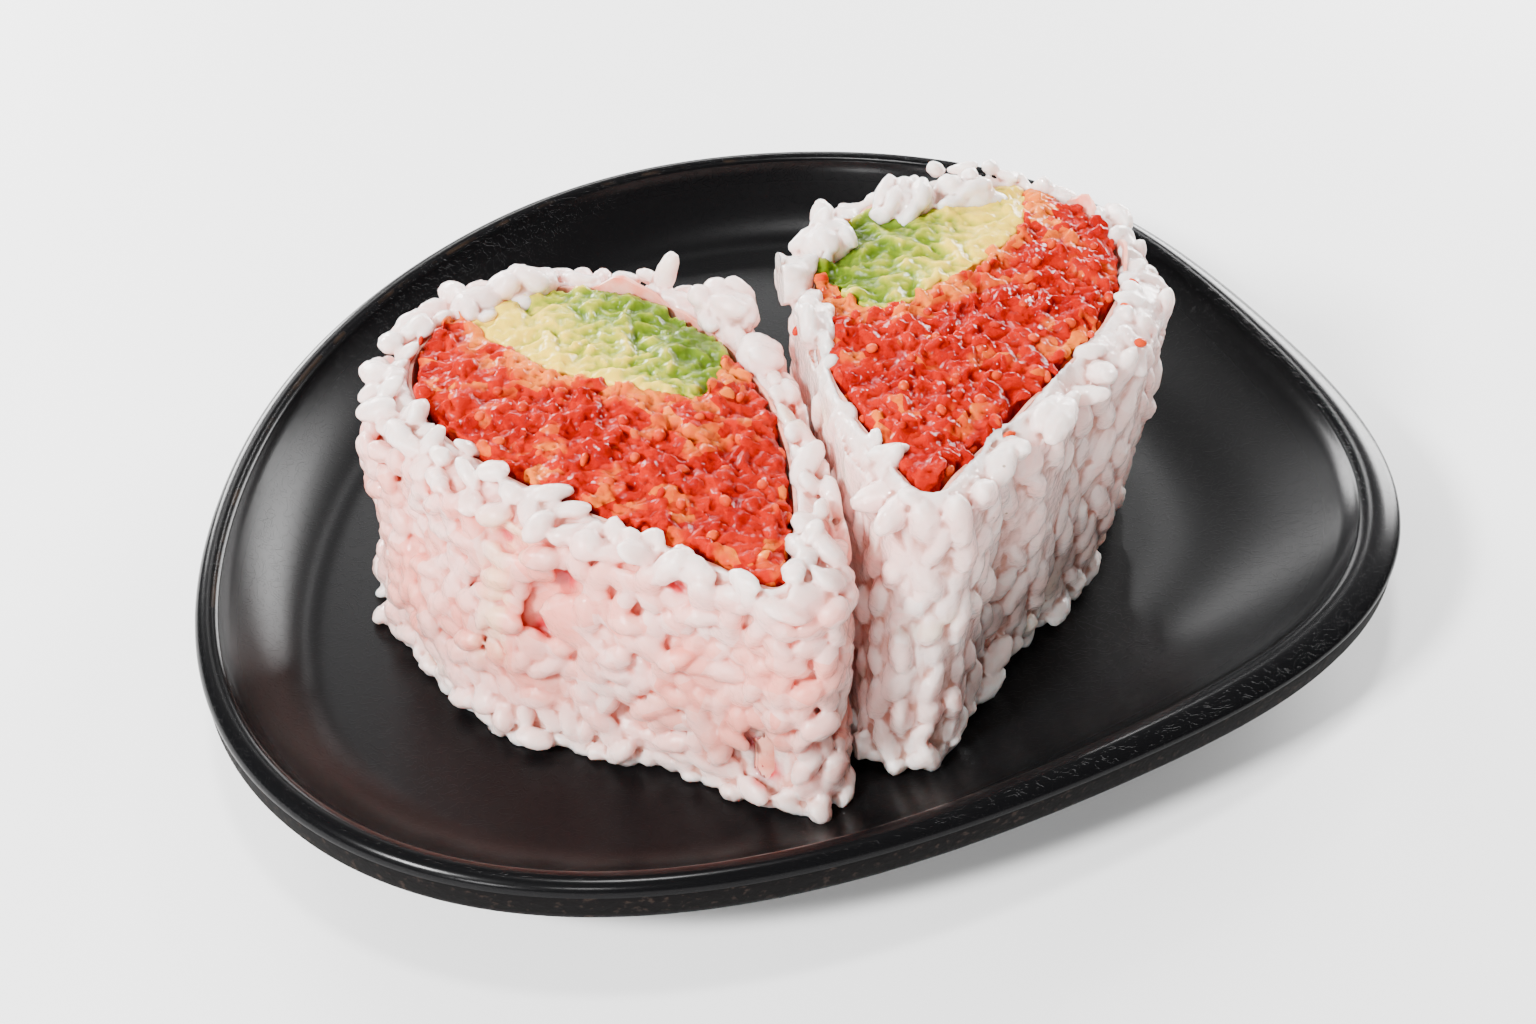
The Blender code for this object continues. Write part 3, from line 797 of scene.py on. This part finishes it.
for side, half in HALVES.items():
    floor = PLATE_FLOOR + FOOT_CLEARANCE
    top = PLATE_FLOOR + half["height"]
    tucked = rice_growth(half, 0.0, CORE_INSET + CORE_FOOT_TUCK)
    core_rings = [ring_at(half, tucked, floor, CORE_FOOT_SEAM_GAP)]
    for step in range(1, WALL_STEPS):
        level = step / WALL_STEPS
        height = floor + (top - floor) * level
        core_rings.append(ring_at(half, rice_growth(half, level, CORE_INSET), height, CORE_SEAM_GAP))
    for step in range(SHOULDER_STEPS + 1):
        turn = math.pi / 2 * step / SHOULDER_STEPS
        inset = CORE_INSET + SHOULDER * (1 - math.cos(turn))
        height = top - SHOULDER * (1 - math.sin(turn))
        seam_gap = CORE_SEAM_GAP + CORE_SEAM_ROUNDING * inset
        core_rings.append(ring_at(half, rice_growth(half, 1.0, inset), height, seam_gap))
    hole = FILLING_GROWTH + GAP + WRAPPER
    for wider, lower in CUT_RINGS:
        core_rings.append(ring_at(half, evenly(hole + wider), top - lower))
    core_rings.append(ring_at(half, evenly(hole), floor))
    rice = tube(side + "_sushi_rice", core_rings, rice_material)
    middle = half_matrix(half) @ Vector((0.0, DROP_LENGTH * DROP_MIDDLE, 0.0))
    inner = len(core_rings[0]) * (len(core_rings) - 2)
    groove, groove_reach, groove_depth = half["groove"]
    for vertex in rice.data.vertices[:inner]:
        across = vertex.co.xy * RIDGE_WAVE_ACROSS
        upright = Vector((*across, vertex.co.z * half["ridge_wave"] + half["seed"]))
        lump = noise.noise(upright) * half["ridge_depth"]
        lump -= groove_depth * math.exp(-(((vertex.co.xy - Vector(groove)).length / groove_reach) ** 2))
        outwards = Vector((vertex.co.x - middle.x, vertex.co.y - middle.y, 0.0)).normalized()
        if vertex.index < inner - len(core_rings[0]):
            vertex.co += outwards * lump
        if vertex.co.z > top - TOP_BAND:
            vertex.co.z += TOP_UNEVEN * noise.noise(vertex.co * TOP_WAVE)
        for hole_at, reach in half["holes"]:
            share = math.exp(-(((vertex.co - Vector(hole_at)).length / reach) ** 2))
            vertex.co -= outwards * HOLE_DEPTH * share
        vertex.co = kept_from_seam(vertex.co, half, CORE_LEAST_SEAM_GAP)
    for name, low, high in (
        ("crust", floor, top - WALL_END),
        ("rim", top - RIM_START, math.inf),
        ("foot", floor, floor + FOOT_BAND),
    ):
        values = rice.data.attributes.new(name, "FLOAT", "POINT")
        for vertex in rice.data.vertices[:inner]:
            near = [(vertex.co - Vector(at)).length < reach + HOLE_MARGIN for at, reach in half["holes"]]
            by_seam = (kept_from_seam(vertex.co, half, SEAM_BAND) - vertex.co).length > 0.0
            share = SEAM_GRAIN_SHARE if by_seam else 1.0
            values.data[vertex.index].value = share if low <= vertex.co.z < high and not any(near) else 0.0
    half["crumb_base"] = rice.data.copy()
    for where_at, size, turn in half["clumps"]:
        add_lump(rice.data, where_at, size, (0, 0, turn), "foot")
    for where_at, size, turn in half["pressed"]:
        add_lump(rice.data, where_at, size, turn)
    for where_at, turn in half["loose"]:
        add_lump(rice.data, where_at, LOOSE_GRAIN, turn)
    stick_bits(
        rice,
        "wall grains",
        rice_material,
        size=half["grain"],
        spacing=half["spacing"],
        sink=half["sink"],
        patch_sink=half["patch_sink"],
        spread=half["spread"],
        tilt=half["tilt"],
        smallest=0.72,
        seed=half["seed"],
    )
    stick_bits(
        rice,
        "top grains",
        rice_material,
        where="rim",
        size=TOP_GRAIN,
        spacing=TOP_GRAIN_SPACING,
        sink=0.0016,
        spread=3.14,
        tilt=0.20,
        smallest=0.70,
        seed=half["seed"] + 5,
    )
    stick_bits(
        rice,
        "foot grains",
        rice_material,
        where="foot",
        size=FOOT_GRAIN,
        spacing=FOOT_GRAIN_SPACING,
        sink=0.0008,
        spread=3.14,
        tilt=0.5,
        smallest=0.70,
        seed=half["seed"] + 7,
    )
    fuse(rice, RICE_VOXEL, RICE_TRIANGLES, 1)
    roughen(
        rice,
        wave=330.0,
        depth=0.0008,
        fine_wave=1100.0,
        fine_depth=0.0004,
        hollow_reach=10,
        hollow_depth=0.00024,
        material=rice_material,
    )
    bake(rice)
    blushes = rice.data.attributes.new("blush", "FLOAT", "POINT")
    reds = rice.data.attributes.new("hole", "FLOAT", "POINT")
    for vertex in rice.data.vertices:
        for hole_at, reach in half["holes"]:
            away = (vertex.co - Vector(hole_at)).length / reach
            red = min(1.0, HOLE_RED - HOLE_RED_FADE * away)
            reds.data[vertex.index].value = max(reds.data[vertex.index].value, red)
        vertex.co.z = max(vertex.co.z, PLATE_FLOOR + RICE_CLEARANCE)
        vertex.co = kept_from_seam(vertex.co, half, RICE_SEAM_GAP)
        below_top = min(1.0, max(0.0, (top + TOP_BAND - vertex.co.z) / BLUSH_FADE_TOP))
        above_foot = min(1.0, max(0.0, (vertex.co.z - PLATE_FLOOR) / BLUSH_FADE_FOOT))
        share = LEAST_BLUSH + (1 - LEAST_BLUSH) * below_top * above_foot
        blushes.data[vertex.index].value = half["blush"] * share
    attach(rice, "root")
    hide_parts(side + "_rice")


# Wrapper. A sheet of pink soy paper rolled round the filling. It is thin and moist. The knife tore it, so
# mostly it ends just below the rice, and here and there a torn edge stands above it.
PAPER_INSIDE = FILLING_GROWTH + GAP + 0.0005
PAPER_OUTSIDE = FILLING_GROWTH + GAP + WRAPPER
PAPER_SHORT = 0.0003
RAGGED_WAVE = 260
RAGGED_DEPTH = 0.0005

paper, tree, shader = new_material("pink soy paper")
give(
    shader,
    {
        "Base Color": ramp(tree, noise_at(tree, 500.0, detail=3.0), (0.35, "#E98A74"), (0.65, "#F2AE9C")),
        "Roughness": 0.40,
        "IOR": 1.45,
        "Subsurface Weight": 0.5,
        "Subsurface Radius": (1.0, 0.5, 0.4),
        "Subsurface Scale": 0.0012,
    },
)

for side, half in HALVES.items():
    low, high = PLATE_FLOOR + PAPER_SHORT, PLATE_FLOOR + half["height"] - PAPER_SHORT
    low_outer = ring_at(half, evenly(PAPER_OUTSIDE), low)
    high_outer = ring_at(half, evenly(PAPER_OUTSIDE), high)
    high_inner = ring_at(half, evenly(PAPER_INSIDE), high)
    low_inner = ring_at(half, evenly(PAPER_INSIDE), low)
    for p in high_outer + high_inner:
        ragged = noise.noise(p * RAGGED_WAVE + Vector((3 * half["seed"], 0, 0)))
        torn = 0.0
        for spot, reach, rise in half["tears"]:
            away = (Vector(spot) - p.xy).length
            torn = max(torn, rise * math.exp(-((away / reach) ** 2)))
        p.z += RAGGED_DEPTH * ragged - PAPER_SHORT + torn * (1 + 0.5 * ragged)
    wrapper = tube(side + "_soy_paper", [low_outer, high_outer, high_inner, low_inner], paper)
    wrapper.data.set_sharp_from_angle(angle=math.radians(50))
    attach(wrapper, "root")
    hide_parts(side + "_wrapper")


# Avocado. A ripe slice, cut through with the roll: pale yellow by the stone and green towards the skin,
# with a wet, buttery surface that the knife smeared into ridges. A bit is smeared over the right half's
# rice.
AVOCADO_VOXEL = 0.00036
AVOCADO_TRIANGLES = 60000
AVOCADO_SMEAR = ((0.0006, -0.0042, 0.0450), (0.0058, 0.0036, 0.0024), (0, 8, 25))
YELLOW_EDGE = -0.002
YELLOW_TO_GREEN = 0.018
MERGE_DISTANCE = 0.000005


def cut_food(name, node, material):
    """A piece of food that starts as a merged copy of its plain solid."""
    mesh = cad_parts[node].data.copy()
    work = bmesh.new()
    work.from_mesh(mesh)
    bmesh.ops.remove_doubles(work, verts=work.verts, dist=MERGE_DISTANCE)
    bmesh.ops.recalc_face_normals(work, faces=work.faces)
    work.to_mesh(mesh)
    work.free()
    mesh.materials.clear()
    mesh.materials.append(material)
    item = bpy.data.objects.new(name, mesh)
    bpy.context.scene.collection.objects.link(item)
    return item


avocado_flesh, tree, shader = new_material("ripe avocado flesh")
mottle = calc(tree, "SUBTRACT", noise_at(tree, 190.0, detail=3.0), 0.5)
ripeness = calc(tree, "MULTIPLY_ADD", mottle, 0.6, attribute(tree, "across"))
# Painted shade: the hollows between the smeared ridges are pushed towards the darker green.
ripeness_and_hollow_shade = calc(tree, "MULTIPLY_ADD", attribute(tree, "hollow"), 0.22, ripeness)
give(
    shader,
    {
        "Base Color": ramp(
            tree, ripeness_and_hollow_shade, (0.12, "#ECC93A"), (1.0, "#4E6612"), (0.5, "#A0A224"), (0.78, "#6A8012")
        ),
        "Normal": relief(tree, noise_at(tree, 900.0), 0.3, 0.0003),
        "Roughness": 0.24,
        "IOR": 1.44,
        "Specular IOR Level": 0.2,
        "Subsurface Weight": 0.45,
        "Subsurface Radius": (0.9, 1.0, 0.35),
        "Subsurface Scale": 0.0010,
    },
)

for side, half in HALVES.items():
    avocado = cut_food(side + "_avocado_slice", side + "_avocado", avocado_flesh)
    if side == "right":
        add_lump(avocado.data, *AVOCADO_SMEAR)
    fuse(avocado, AVOCADO_VOXEL, AVOCADO_TRIANGLES, 3)
    roughen(
        avocado,
        wave=240.0,
        depth=0.0036,
        fine_wave=850.0,
        fine_depth=0.0012,
        hollow_reach=12,
        hollow_depth=0.00025,
        material=avocado_flesh,
    )
    bake(avocado)
    to_drop = half_matrix(half).inverted()
    values = avocado.data.attributes.new("across", "FLOAT", "POINT")
    for vertex in avocado.data.vertices:
        spot = to_drop @ vertex.co
        values.data[vertex.index].value = min(1.0, max(0.0, (spot.x - YELLOW_EDGE) / YELLOW_TO_GREEN))
        vertex.co.z = max(vertex.co.z, PLATE_FLOOR + FOOT_CLEARANCE)
    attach(avocado, "root")
    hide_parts(side + "_avocado")
    half["avocado"] = BVHTree.FromPolygons(
        [v.co for v in avocado.data.vertices], [p.vertices for p in avocado.data.polygons]
    )


# Red filling. Minced seafood tossed in chilli sauce: wet, pulpy lumps of 1 to 3 mm packed together, more
# orange by the avocado, with round granules of roe among them and crumbs of it on the rice.
LUMP = (0.0036, 0.0024, 0.0020)
LUMP_SPACING = 0.0017
LUMP_BAND = 0.004
RED_VOXEL = 0.00025
RED_TRIANGLES = 180000
ROE = (0.0016, 0.0015, 0.0014)
ROE_SPACING = 0.0046
CRUMB = (0.0017, 0.0012, 0.0009)
CRUMB_SPACING = 0.0055
CRUMB_BAND = 0.002
CRUMB_SLOPE = 0.6
ORANGE_REACH = 0.0060

mince, tree, shader = new_material("minced seafood in chilli sauce")
one_lump = add(tree, "ShaderNodeSeparateColor", {"Color": cells_at(tree, 430.0)["Color"]}).outputs[0]
mixed = calc(tree, "MULTIPLY_ADD", one_lump, 0.38, noise_at(tree, 130.0, detail=3.0))
more_orange = calc(tree, "MULTIPLY_ADD", attribute(tree, "orange"), 0.34, mixed)
flesh = ramp(tree, more_orange, (0.50, "#940401"), (1.0, "#E0701C"), (0.82, "#B01402"))
# Painted shade, not sauce: the hollows between lumps are darkened towards a deep red.
sauce = stretch(tree, attribute(tree, "hollow"), 0.1, 1.0, to_max=0.8)
give(
    shader,
    {
        "Base Color": blend(tree, sauce, flesh, "#6E0201"),
        "Normal": relief(tree, noise_at(tree, 1600.0), 0.3, 0.0002),
        "Roughness": 0.08,
        "IOR": 1.38,
        "Specular IOR Level": 0.10,
        "Subsurface Weight": 0.4,
        "Subsurface Radius": (1.0, 0.25, 0.12),
        "Subsurface Scale": 0.0014,
    },
)

roe, tree, shader = new_material("orange roe")
give(
    shader,
    {
        "Base Color": ramp(tree, noise_at(tree, 300.0), (0.40, "#AE1604"), (0.62, "#CC4410")),
        "Roughness": 0.12,
        "IOR": 1.38,
        "Specular IOR Level": 0.15,
        "Subsurface Weight": 0.5,
        "Subsurface Radius": (1.0, 0.5, 0.2),
        "Subsurface Scale": 0.0008,
    },
)

for side, half in HALVES.items():
    top = PLATE_FLOOR + half["height"]
    filling = cut_food(side + "_minced_seafood", side + "_red_filling", mince)
    mark_crust(filling.data, lambda place, normal: place.z > top - LUMP_BAND)
    eggs = filling.copy()
    eggs.data = filling.data.copy()
    eggs.name = side + "_roe"
    bpy.context.scene.collection.objects.link(eggs)
    stick_bits(
        filling,
        "lumps",
        mince,
        size=LUMP,
        spacing=LUMP_SPACING,
        sink=0.0016,
        spread=1.6,
        tilt=0.6,
        smallest=0.4,
        seed=half["seed"] + 1,
    )
    fuse(filling, RED_VOXEL, RED_TRIANGLES, 1)
    roughen(
        filling,
        wave=330.0,
        depth=0.0026,
        fine_wave=1500.0,
        fine_depth=0.0007,
        hollow_reach=8,
        hollow_depth=0.00022,
        material=mince,
    )
    bake(filling)
    values = filling.data.attributes.new("orange", "FLOAT", "POINT")
    for vertex in filling.data.vertices:
        vertex.co.z = max(vertex.co.z, PLATE_FLOOR + FOOT_CLEARANCE)
        away = half["avocado"].find_nearest(vertex.co)[3]
        values.data[vertex.index].value = max(0.0, 1 - away / ORANGE_REACH)
    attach(filling, "root")
    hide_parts(side + "_red_filling")
    stick_bits(
        eggs,
        "granules",
        roe,
        keep_base=False,
        size=ROE,
        spacing=ROE_SPACING,
        sink=-0.0002,
        spread=1.6,
        tilt=0.3,
        smallest=0.6,
        seed=half["seed"] + 2,
    )
    bake(eggs)
    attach(eggs, "root")
    crumbs = bpy.data.objects.new(side + "_sauce_crumbs", half["crumb_base"])
    bpy.context.scene.collection.objects.link(crumbs)
    mark_crust(crumbs.data, lambda place, normal: normal.z > CRUMB_SLOPE and place.z > top - CRUMB_BAND)
    stick_bits(
        crumbs,
        "crumbs",
        roe,
        keep_base=False,
        size=CRUMB,
        spacing=CRUMB_SPACING,
        sink=-0.0018,
        spread=1.6,
        tilt=0.5,
        smallest=0.5,
        seed=half["seed"] + 3,
    )
    bake(crumbs)
    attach(crumbs, "root")


# Stage. A plain pale table, small soft boxes in front and above and large ones low behind, and the
# photograph's viewpoint, 40 degrees above the table.
TABLE_SIZE = 4.0
TABLE_DROP = 0.0001
LIGHTS = (
    ("key", (-0.46, -0.42, 0.50), (0, 0, 0.02), (0.13, 0.13), 16.0),
    ("low front", (-0.34, -0.68, 0.27), (0, 0, 0.02), (0.10, 0.10), 2.2),
    ("front", (-0.10, -0.62, 0.46), (0, 0, 0.02), (0.08, 0.08), 1.4),
    ("high back", (0.12, 0.62, 0.56), (0, 0, 0.03), (0.05, 0.05), 0.8),
    ("low back right", (0.43, 0.64, 0.22), (0, 0, 0.02), (0.44, 0.26), 15.0),
    ("low back middle", (-0.10, 0.74, 0.33), (0, 0, 0.01), (0.30, 0.12), 2.0),
    ("low back left", (-0.45, 0.62, 0.22), (0, 0, 0.02), (0.24, 0.24), 10.0),
    ("high back left", (-0.24, 0.60, 0.48), (0, 0, 0.01), (0.16, 0.16), 0.8),
    ("top", (-0.04, 0.02, 0.80), (0, 0, 0.02), (0.10, 0.10), 4.0),
)
WORLD_STRENGTH = 0.14
CAMERA_AIM = Vector((-0.0053, 0.0032, 0.0))
CAMERA_DISTANCE = 0.2778
CAMERA_ELEVATION = math.radians(40)
SENSOR_WIDTH = 36.0
FOCAL_LENGTH = 46.875

table, tree, shader = new_material("pale table")
give(shader, {"Base Color": colour("#FAFAFA"), "Roughness": 0.6})
bpy.ops.mesh.primitive_plane_add(size=TABLE_SIZE, location=(0, 0, -TABLE_DROP))
ground = bpy.context.object
ground.name = "table_top"
ground.data.materials.append(table)

for name, place, aim, size, power in LIGHTS:
    data = bpy.data.lights.new(name, "AREA")
    data.shape = "RECTANGLE"
    data.size, data.size_y = size
    data.energy = power
    light = bpy.data.objects.new(name, data)
    light.location = place
    light.rotation_euler = (Vector(aim) - Vector(place)).to_track_quat("-Z", "Y").to_euler()
    bpy.context.scene.collection.objects.link(light)

world = bpy.data.worlds.new("studio")
world.use_nodes = True
give(world.node_tree.nodes["Background"], {"Color": (1, 1, 1, 1), "Strength": WORLD_STRENGTH})
bpy.context.scene.world = world

lens = bpy.data.cameras.new("photo view")
lens.sensor_fit = "HORIZONTAL"
lens.sensor_width = SENSOR_WIDTH
lens.lens = FOCAL_LENGTH
lens.clip_start = 0.01
camera = bpy.data.objects.new("photo view", lens)
back = Vector((0, -math.cos(CAMERA_ELEVATION), math.sin(CAMERA_ELEVATION)))
camera.location = CAMERA_AIM + CAMERA_DISTANCE * back
camera.rotation_euler = (math.pi / 2 - CAMERA_ELEVATION, 0, 0)
bpy.context.scene.collection.objects.link(camera)
bpy.context.scene.camera = camera
